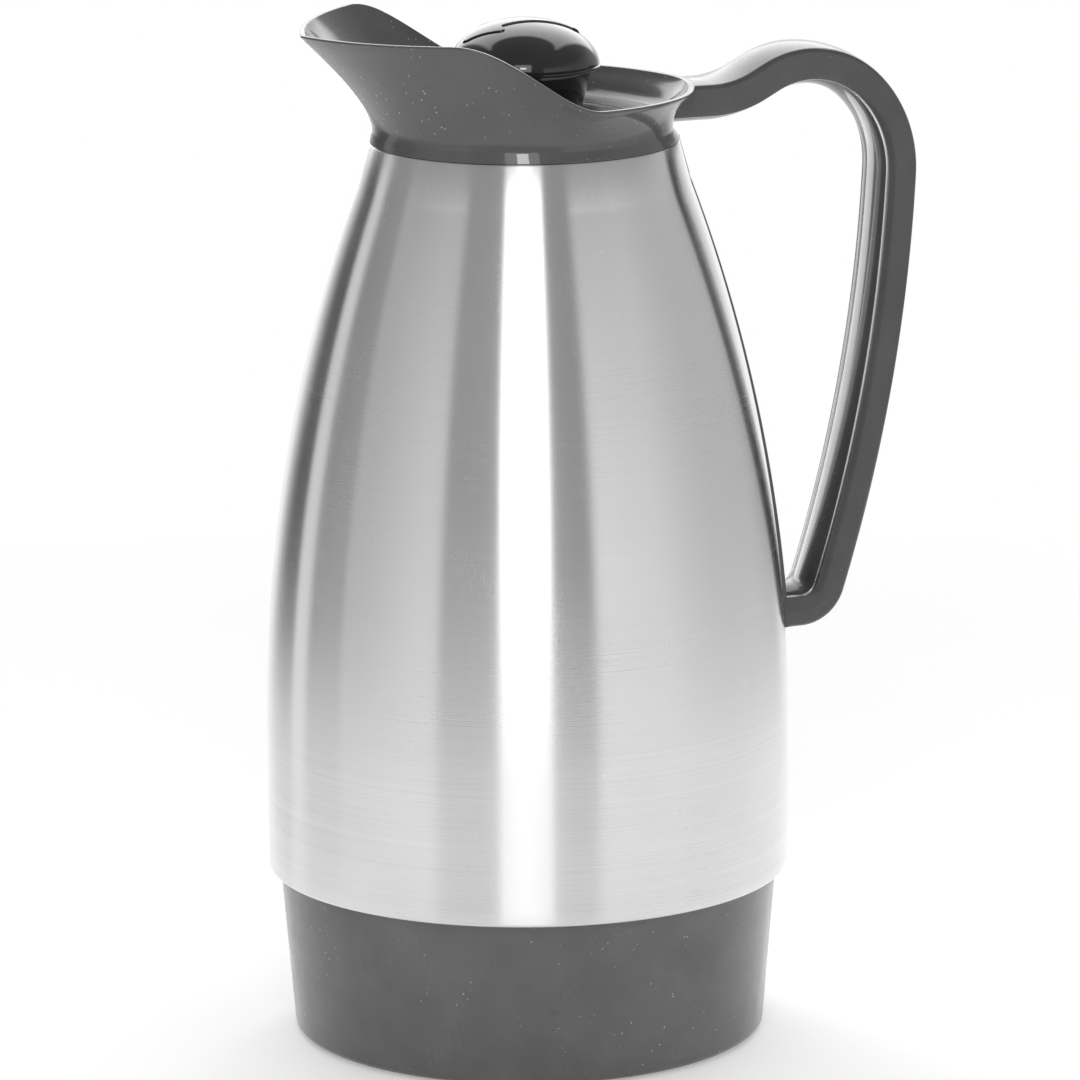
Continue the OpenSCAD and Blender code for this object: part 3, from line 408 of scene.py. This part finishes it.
# The spun ring carries each loop point's number as its radius, and the points then move to their places
def makeCollar():
    steps = collarShape["steps"]
    count = len(collarLoop(0))
    farOut = 100
    bm = lathe([(farOut + i, 0.001 * i * (count - i)) for i in range(count)], steps, closed=True)
    loops = {}
    for vert in bm.verts:
        turn = round(atan2(vert.co.y, vert.co.x) / (2 * pi) * steps) % steps
        angle = 360 * turn / steps
        if turn not in loops:
            loops[turn] = collarLoop(min(angle, 360 - angle))
        r, z = loops[turn][round(hypot(vert.co.x, vert.co.y)) - farOut]
        vert.co = (r * cos(radians(angle)), r * sin(radians(angle)), z)
    bmesh.ops.recalc_face_normals(bm, faces=bm.faces)
    return makePiece("pouringCollar", bm, "jug", charcoal, "collar")


# Handle: one route for the channel and for the cover that closes it on the hand's side
handleShape = {"width": 19, "depth": 8.6, "corner": 1.5, "outerCrown": 0.6, "wall": 2, "topH": 8.6,
               "footReach": 6.1, "riseR": 27.5, "riseDeg": 28.4, "riseRun": 4.2, "crestR": 24,
               "crestDeg": 43.3, "shoulderR": 32.3, "shoulderDeg": 49.7, "gripR": 441, "gripDeg": 14.9,
               "footBendR": 8.8, "coverCrown": 2.0, "coverT": 2.2, "seam": 0.12, "spineFootT": 3.4,
               "spineTopT": 0.3, "spineInset": 0.15, "spineRaise": 1.2}


def handleRoute():
    shape = handleShape
    endTurn = 180 - shape["crestDeg"] - shape["shoulderDeg"] - shape["gripDeg"]
    bends = [(shape["riseR"], shape["riseDeg"], 14), (shape["riseRun"], 0, 1),
             (shape["crestR"], -shape["riseDeg"] - shape["crestDeg"], 32),
             (shape["shoulderR"], -shape["shoulderDeg"], 24), (shape["gripR"], -shape["gripDeg"], 30),
             (shape["footBendR"], -endTurn, 26)]
    x, heading = 0.0, 0.0
    for size, turn, _ in bends:
        if turn == 0:
            x += size * cos(radians(heading))
        else:
            sign = 1 if turn > 0 else -1
            x += sign * size * (sin(radians(heading + turn)) - sin(radians(heading)))
        heading += turn
    startX = steelShape["neckR"] - 2
    stub = shellR + shape["footReach"] - x - startX
    return (startX, neckZ + shape["topH"]), [(stub, 0, 1)] + bends + [(shape["footReach"] + 8, 0, 1)]


def runAlong(section):
    (x, z), route = handleRoute()
    bm = bmesh.new()
    verts, edges = chain(bm, [(x, across, z + out) for across, out in section], closed=True)
    first, heading = verts, 0.0
    for size, turn, steps in route:
        ahead = Vector((cos(radians(heading)), 0, sin(radians(heading))))
        if turn == 0:
            for _ in range(steps):
                made = bmesh.ops.extrude_edge_only(bm, edges=edges)["geom"]
                verts = [item for item in made if isinstance(item, bmesh.types.BMVert)]
                edges = [item for item in made if isinstance(item, bmesh.types.BMEdge)
                         and all(vert in verts for vert in item.verts)]
                bmesh.ops.translate(bm, verts=verts, vec=ahead * size / steps)
            x, z = x + ahead.x * size, z + ahead.z * size
        else:
            side = 1 if turn > 0 else -1
            centre = Vector((x - ahead.z * size * side, 0, z + ahead.x * size * side))
            made = bmesh.ops.spin(bm, geom=verts + edges, cent=centre, axis=(0, -1, 0), angle=radians(turn),
                                  steps=steps)["geom_last"]
            verts = [item for item in made if isinstance(item, bmesh.types.BMVert)]
            edges = [item for item in made if isinstance(item, bmesh.types.BMEdge)]
            heading += turn
            x = centre.x + size * side * sin(radians(heading))
            z = centre.z - size * side * cos(radians(heading))
    return bm, first, verts


def spineT(z):
    share = (z - spineLow) / (neckZ - spineLow)
    return handleShape["spineFootT"] + (handleShape["spineTopT"] - handleShape["spineFootT"]) * share


# Both ends of a handle piece end just under the surface that they meet. The shell's foot, which is deeper
# than the cover's, reaches down to the spine's lower end.
def seatEnds(bm, first, last, bury=0.5, footLift=0.3):
    for vert in first:
        radius = wallAt(0, vert.co.z)[0] - bury
        vert.co.x = sqrt(radius ** 2 - vert.co.y ** 2)
    footTop = max(vert.co.z for vert in last)
    footDepth = footTop - min(vert.co.z for vert in last)
    deepen = 1
    if footDepth > handleShape["depth"] / 2:
        deepen = max(1, (footTop - spineLow - footLift) / footDepth)
    for vert in last:
        vert.co.z = footTop - (footTop - vert.co.z) * deepen
        radius = steelAt(vert.co.z) + spineT(vert.co.z) - 2 * bury
        vert.co.x = sqrt(radius ** 2 - vert.co.y ** 2)
    for ring in (first, last):
        rim = {edge for vert in ring for edge in vert.link_edges if edge.is_boundary}
        bmesh.ops.triangle_fill(bm, edges=list(rim), use_beauty=True)
    return tidyMesh(bm)


def handleSections():
    shape = handleShape
    half, depth, corner = shape["width"] / 2, shape["depth"] / 2, shape["corner"]
    mouth = half - shape["wall"]
    crown = shape["outerCrown"]
    side = arc(half - corner, depth - corner, corner, 0, 90, 6)
    top = [((half - corner) * (1 - i / 8), depth + crown * (1 - (1 - i / 8) ** 2)) for i in range(1, 9)]
    right = [(mouth, -depth + 0.3), (mouth + 0.25, -depth), (half - 0.6, -depth), (half - 0.15, -depth + 0.2),
             (half, -depth + 0.6), (half, 0)] + side + top
    channel = depth - shape["wall"] - 0.4
    inside = [(-mouth, channel), (mouth, channel)]
    shell = right + [(-y, out) for y, out in reversed(right[:-1])] + inside
    lip = mouth - shape["seam"]
    count = 9
    face = [(lip, -depth + 0.35), (lip - 0.12, -depth + 0.02)]
    for i in range(1, count + 1):
        share = 1 - i / count
        face.append((lip * share, -depth - shape["coverCrown"] * (1 - share ** 2.2)))
    back = -depth + shape["coverT"]
    cover = face + [(-y, out) for y, out in reversed(face[:-1])] + [(-lip, back), (lip, back)]
    return shell, cover


spineLow = boxOf("handle_spine")[0].z


def makeHandle():
    shellSection, coverSection = handleSections()
    makePiece("handleShell", seatEnds(*runAlong(shellSection)), "jug", handleFinish,
              "handle_shell")
    makePiece("handleCover", seatEnds(*runAlong(coverSection)), "jug", handleFinish,
              "handle_cover")


# Spine: a strip on the steel below the collar, thick at the handle's foot and thin at the top
def makeSpine():
    half = handleShape["width"] / 2 - handleShape["spineInset"]
    low, top = spineLow + handleShape["spineRaise"], neckZ - 0.2
    bm = bmesh.new()
    bmesh.ops.create_grid(bm, x_segments=24, y_segments=110, size=1)
    made = bmesh.ops.extrude_face_region(bm, geom=bm.faces[:])["geom"]
    under = {item for item in made if isinstance(item, bmesh.types.BMVert)}
    tops = [vert for vert in bm.verts if vert not in under]
    height = {vert: low + (top - low) * (vert.co.y + 1) / 2 for vert in bm.verts}
    rims = [edge for edge in bm.edges
            if len(edge.link_faces) == 2 and all(vert in tops for vert in edge.verts)
            and any(any(vert in under for vert in face.verts) for face in edge.link_faces)]
    for vert in bm.verts:
        z, across = height[vert], vert.co.x * half
        radius = steelAt(z) + (0.02 if vert in under else spineT(z))
        vert.co = (sqrt(radius ** 2 - across ** 2), across, z)
    bevelEdges(bm, rims, 0.4, 3)
    bmesh.ops.recalc_face_normals(bm, faces=bm.faces)
    return makePiece("handleSpine", bm, "jug", handleFinish, "handle_spine")


# Stopper dome and its flip lid. The lid's plate, and the matching cut in the dome, are modelled flat, with
# height as distance from the dome's face, and then draped over the half ellipse; the dome itself is spun.
domeShape = {"wall": 2.2, "topWall": 3.4, "steps": 160, "rings": 40, "lipR": 0.5, "faceFrom": 1.2,
             "groove": [(-0.25, 1.1), (-0.3, 0.9), (-0.02, 0.75), (0, 0.5)], "buttonR": 3.05}
lidShape = {"headL": 9, "headHalf": 6.8, "tailHalf": 3.6, "tipX": 16.6, "tipHalf": 0.8, "barb": 1.2,
            "endInset": 0.9, "hingeX": 12.4, "barrelR": 2.5, "solidProud": 0.8, "proud": 0.4, "thick": 1.8,
            "gap": 0.16, "slotGap": 0.25, "edge": 0.15, "corner": 0.6, "cell": 0.7}
domeR, domeZ = domeHigh.y, domeLow.z
domeH = boxOf("flip_lid")[1].z - lidShape["solidProud"] - domeZ
lidEndX = boxOf("flip_lid")[1].x
hinge = next(joint for joint in frame["joints"] if joint["name"] == "lid_flip")


def drape(bm):
    for vert in bm.verts:
        out = vert.co.z
        share = min(1, hypot(vert.co.x, vert.co.y) / (domeR + out))
        vert.co.z = domeZ + (domeH + out) * sqrt(1 - share * share)


def arrowPlate(grow, low, high, edge):
    shape = lidShape
    neckX = -shape["tipX"] + shape["headL"]
    endX = lidEndX - shape["endInset"]
    half = [(-shape["tipX"] - 1.6 * grow, shape["tipHalf"] + grow / 2),
            (neckX - shape["barb"], shape["headHalf"] + grow), (neckX + grow, shape["headHalf"] + grow),
            (neckX + grow, shape["tailHalf"] + grow), (endX, shape["tailHalf"] + grow)]
    bm = bmesh.new()
    outline = half + [(x, -y) for x, y in reversed(half)]
    verts = [bm.verts.new((x, y, high)) for x, y in outline]
    bm.faces.new(verts)
    corners = [vert for vert in bm.verts if vert.co.x < endX - 0.1]
    bmesh.ops.bevel(bm, geom=corners, offset=shape["corner"], segments=4, profile=0.5, affect="VERTICES",
                    material=-1, clamp_overlap=True)
    made = bmesh.ops.extrude_face_region(bm, geom=bm.faces[:])["geom"]
    moved = [item for item in made if isinstance(item, bmesh.types.BMVert)]
    bmesh.ops.translate(bm, verts=moved, vec=(0, 0, low - high))
    bmesh.ops.recalc_face_normals(bm, faces=bm.faces)
    if edge:
        rims = [item for item in bm.edges if all(vert.co.z > high - 1e-4 for vert in item.verts)]
        bevelEdges(bm, rims, edge, 4)
    reach = shape["tipX"] + 2
    for axis, limit in ((Vector((1, 0, 0)), reach), (Vector((0, 1, 0)), shape["headHalf"] + 1)):
        count = int(2 * limit / shape["cell"])
        for i in range(1, count):
            bmesh.ops.bisect_plane(bm, geom=bm.verts[:] + bm.edges[:] + bm.faces[:], dist=1e-5,
                                   plane_co=axis * (-limit + 2 * limit * i / count), plane_no=axis)
    drape(bm)
    return bm


def barrel(radius, halfLength, edge):
    hingeZ = hinge["pos_m"][2] / mm
    bm = bmesh.new()
    turned = Matrix.Translation((lidShape["hingeX"], 0, hingeZ)) @ Matrix.Rotation(pi / 2, 4, "X")
    bmesh.ops.create_cone(bm, cap_ends=True, segments=64, radius1=radius, radius2=radius,
                          depth=2 * halfLength, matrix=turned)
    if edge:
        rims = [item for item in bm.edges if abs(item.verts[0].co.y - item.verts[1].co.y) < 1e-4]
        bevelEdges(bm, rims, edge, 3)
    return bm


def addTo(bm, other):
    mesh = bpy.data.meshes.new("temp")
    other.to_mesh(mesh)
    other.free()
    bm.from_mesh(mesh)
    bpy.data.meshes.remove(mesh)


def makeDome():
    shape, lid = domeShape, lidShape
    rings = shape["rings"]
    quarter = [radians(90 * i / rings) for i in range(rings + 1)]
    lip = shape["lipR"]
    outer = [(domeR * cos(t), domeZ + domeH * sin(t)) for t in reversed(quarter)
             if domeH * sin(t) > shape["faceFrom"]]
    outer += [(domeR + out, domeZ + up) for out, up in shape["groove"]]
    outer += arc(domeR - lip, domeZ + lip, lip, -20, -90, 4)
    innerR, innerH = domeR - shape["wall"], domeH - shape["topWall"]
    inner = [(innerR * cos(t), domeZ + innerH * sin(t)) for t in quarter[::2]]
    bm = lathe(outer + inner, shape["steps"])
    cutters = [arrowPlate(lid["gap"], lid["proud"] - lid["thick"] - lid["gap"], 4, 0),
               barrel(lid["barrelR"] + lid["slotGap"], lid["tailHalf"] + lid["gap"], 0)]
    button = bmesh.new()
    buttonR, crownSpot = shape["buttonR"], Matrix.Translation((0, 0, domeZ + domeH))
    bmesh.ops.create_cone(button, cap_ends=True, segments=48, radius1=buttonR, radius2=buttonR, depth=20,
                          matrix=crownSpot)
    bm = cutAway(bm, cutters + [button])
    return makePiece("stopperDome", bm, "stopper", glossBlack, "stopper_dome", sharpDeg=28)


def makeLid():
    shape = lidShape
    bm = arrowPlate(0, shape["proud"] - shape["thick"], shape["proud"], shape["edge"])
    addTo(bm, barrel(shape["barrelR"], shape["tailHalf"], 0.3))
    return makePiece("flipLid", bm, "lid", glossBlack, "flip_lid", sharpDeg=28)


makeSteelShell()
makeCollar()
makeHandle()
makeSpine()
makeDome()
makeLid()
print("pieces made")


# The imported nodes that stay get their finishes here
keptFinishes = {cupFinish: ["base_cup"], glossBlack: ["throat_insert", "stopper_plug"],
                rubber: ["foot_pad", "flask_cushion", "neck_gasket", "stopper_seal", "valve_disc"],
                screwSteel: ["base_screws", "collar_screws", "foot_screw", "foot_plate", "lid_hinge_pin",
                             "valve_spring"],
                hiddenPlastic: ["shell_ring", "neck_clamp_ring", "flask_spacers", "valve_rod"],
                glassFinish: ["flask_outer_wall", "flask_inner_wall"]}
for finish, nodes in keptFinishes.items():
    for node in nodes:
        for item in frame["nodes"][node].material_slots:
            item.material = finish
print("kept nodes finished")


# Studio: camera at the photograph's angle, pale floor, a world that is brighter and darker round the carafe
cameraPlace = {"azimuth": 20.15, "distance": 1.8525, "height": 0.5508, "down": 12.662, "roll": -0.367,
               "focalPixels": 7053.2, "framePixels": 1080, "centrePixelX": 526.34, "sensor": 36}


def makeCamera():
    place = cameraPlace
    azimuth = radians(place["azimuth"])
    data = bpy.data.cameras.new("camera")
    data.sensor_width = place["sensor"]
    data.lens = place["focalPixels"] / place["framePixels"] * place["sensor"]
    data.shift_x = 0.5 - place["centrePixelX"] / place["framePixels"]
    data.clip_start, data.clip_end = 0.05, 20
    camera = bpy.data.objects.new("camera", data)
    bpy.context.scene.collection.objects.link(camera)
    spot = (-place["distance"] * sin(azimuth), -place["distance"] * cos(azimuth), place["height"])
    camera.matrix_world = (Matrix.Translation(spot) @ Matrix.Rotation(-azimuth, 4, "Z")
                           @ Matrix.Rotation(radians(90 - place["down"]), 4, "X")
                           @ Matrix.Rotation(radians(place["roll"]), 4, "Z"))
    bpy.context.scene.camera = camera


# Brightness of the room by degrees to the right of the camera, as the carafe sees it
roomBands = [(-160, 0.95), (-146, 0.26), (-139, 0.08), (-127, 0.08), (-124, 0.8), (-115, 0.72), (-112, 0.24),
             (-98, 0.30), (-80, 0.50), (-64, 0.62), (-50, 0.74), (-41, 0.76), (-38, 0.32), (-18, 0.36),
             (18, 0.30), (29, 0.26), (33, 0.92), (64, 0.78), (80, 0.64), (96, 0.56), (128, 0.54), (144, 0.45),
             (160, 1.0)]
# Bright sweep behind the carafe, and the ceiling: where each begins to show and where it is full
sweepLight = {"lift": 0.9, "behind": (0.84, 0.92), "above": (0.10, 0.2), "below": (0.88, 0.85),
              "sideways": (0.55, 0.48), "level": 2.2, "ceiling": (0.3, 0.5), "ceilingLevel": 0.34}


def makeWorld():
    world = bpy.data.worlds.new("room")
    bpy.context.scene.world = world
    world.use_nodes = True
    tree = world.node_tree
    back = tree.nodes["Background"]
    coords = addNode(tree, "TexCoord").outputs["Generated"]
    turned = addNode(tree, "Mapping", {"Vector": coords, "Rotation": (0, 0, radians(cameraPlace["azimuth"]))})
    around = addNode(tree, "TexGradient", {"Vector": turned.outputs[0]}, gradient_type="RADIAL")
    ramp = addNode(tree, "ValToRGB", {"Fac": around.outputs["Fac"]})
    stops = sorted(((delta / 360 + 0.25) % 1, level) for delta, level in roomBands)
    while len(ramp.color_ramp.elements) < len(stops):
        ramp.color_ramp.elements.new(0.5)
    for element, (place, level) in zip(ramp.color_ramp.elements, stops):
        element.position = place
        element.color = (level, level, level, 1)
    way = addNode(tree, "SeparateXYZ", {0: turned.outputs[0]})
    light = sweepLight
    slant = combine(tree, "ADD", way.outputs["Y"], combine(tree, "MULTIPLY", way.outputs["Z"], light["lift"]))
    behind = mapRange(tree, slant, *light["behind"])
    above = mapRange(tree, way.outputs["Z"], *light["above"])
    below = mapRange(tree, way.outputs["Z"], *light["below"])
    sideways = mapRange(tree, combine(tree, "ABSOLUTE", way.outputs["X"], 0), *light["sideways"])
    sweep = combine(tree, "MULTIPLY", behind, combine(tree, "MULTIPLY", above, below))
    sweep = combine(tree, "MULTIPLY", sweep, sideways)
    upper = mapRange(tree, way.outputs["Z"], *light["ceiling"])
    room = mixColor(tree, upper, ramp.outputs["Color"], (light["ceilingLevel"],) * 3)
    lit = mixColor(tree, sweep, room, (light["level"],) * 3)
    rays = addNode(tree, "LightPath")
    seen = combine(tree, "MAXIMUM", rays.outputs["Is Camera Ray"], rays.outputs["Is Transmission Ray"])
    tree.links.new(mixColor(tree, seen, lit, (1, 1, 1)), back.inputs["Color"])


floorSize = {"radius": 0.62, "fadeFrom": 0.5, "color": 0.85, "glow": 0.35, "mirrored": 0.35}


def makeFloor():
    size = floorSize
    bm = bmesh.new()
    bmesh.ops.create_circle(bm, cap_ends=True, segments=96, radius=size["radius"])
    mesh = bpy.data.meshes.new("floor")
    bm.to_mesh(mesh)
    bm.free()
    floor = bpy.data.objects.new("floor", mesh)
    bpy.context.scene.collection.objects.link(floor)
    material = bpy.data.materials.new("paleFloor")
    material.use_nodes = True
    tree = material.node_tree
    tree.nodes.clear()
    diffuse = addNode(tree, "BsdfDiffuse", {"Color": (size["color"],) * 3 + (1,)})
    rays = addNode(tree, "LightPath")
    direct = combine(tree, "MAXIMUM", rays.outputs["Is Camera Ray"], rays.outputs["Is Transmission Ray"])
    direct = combine(tree, "MULTIPLY", direct, size["glow"])
    mirrored = combine(tree, "MULTIPLY", rays.outputs["Is Glossy Ray"], size["mirrored"])
    glow = addNode(tree, "Emission", {"Strength": combine(tree, "MAXIMUM", direct, mirrored)})
    lit = addNode(tree, "AddShader", {0: diffuse.outputs[0], 1: glow.outputs[0]})
    coords = addNode(tree, "TexCoord").outputs["Object"]
    distance = addNode(tree, "VectorMath", {0: coords}, operation="LENGTH")
    fade = mapRange(tree, distance.outputs["Value"], size["fadeFrom"], size["radius"])
    clear = addNode(tree, "BsdfTransparent")
    mixed = addNode(tree, "MixShader", {0: fade, 1: lit.outputs[0], 2: clear.outputs[0]})
    output = addNode(tree, "OutputMaterial")
    tree.links.new(mixed.outputs[0], output.inputs["Surface"])
    mesh.materials.append(material)


# Soft boxes: name, degrees to the camera's right, elevation, distance, width, height, radiance
softBoxes = [("frontStrip", -0.5, 19, 1.5, 0.62, 1.35, 2.1), ("lamp", 0, 32, 1.5, 0.2, 0.14, 11)]
boxAimZ = 0.15
backCard = {"place": (0.016, 0.127, 0.14), "faces": (0.095, 0, 0.17), "width": 0.09, "height": 0.26,
            "radiance": 3.5}


def addSoftBox(name, place, away, width, height, radiance):
    light = bpy.data.lights.new(name, "AREA")
    light.shape, light.size, light.size_y = "RECTANGLE", width, height
    light.energy = radiance * pi * width * height
    lamp = bpy.data.objects.new(name, light)
    bpy.context.scene.collection.objects.link(lamp)
    lamp.location = place
    lamp.rotation_euler = away.to_track_quat("Z", "Y").to_euler()
    lamp.visible_camera = False


def makeLights():
    for name, right, elevation, distance, width, height, radiance in softBoxes:
        turn, rise = radians(right - cameraPlace["azimuth"]), radians(elevation)
        away = Vector((sin(turn) * cos(rise), -cos(turn) * cos(rise), sin(rise)))
        addSoftBox(name, away * distance + Vector((0, 0, boxAimZ)), away, width, height, radiance)
    card = backCard
    place = Vector(card["place"])
    addSoftBox("backCard", place, place - Vector(card["faces"]), card["width"], card["height"],
               card["radiance"])


makeCamera()
makeWorld()
makeFloor()
makeLights()
bpy.context.scene.view_settings.view_transform = "Standard"
print("studio made")
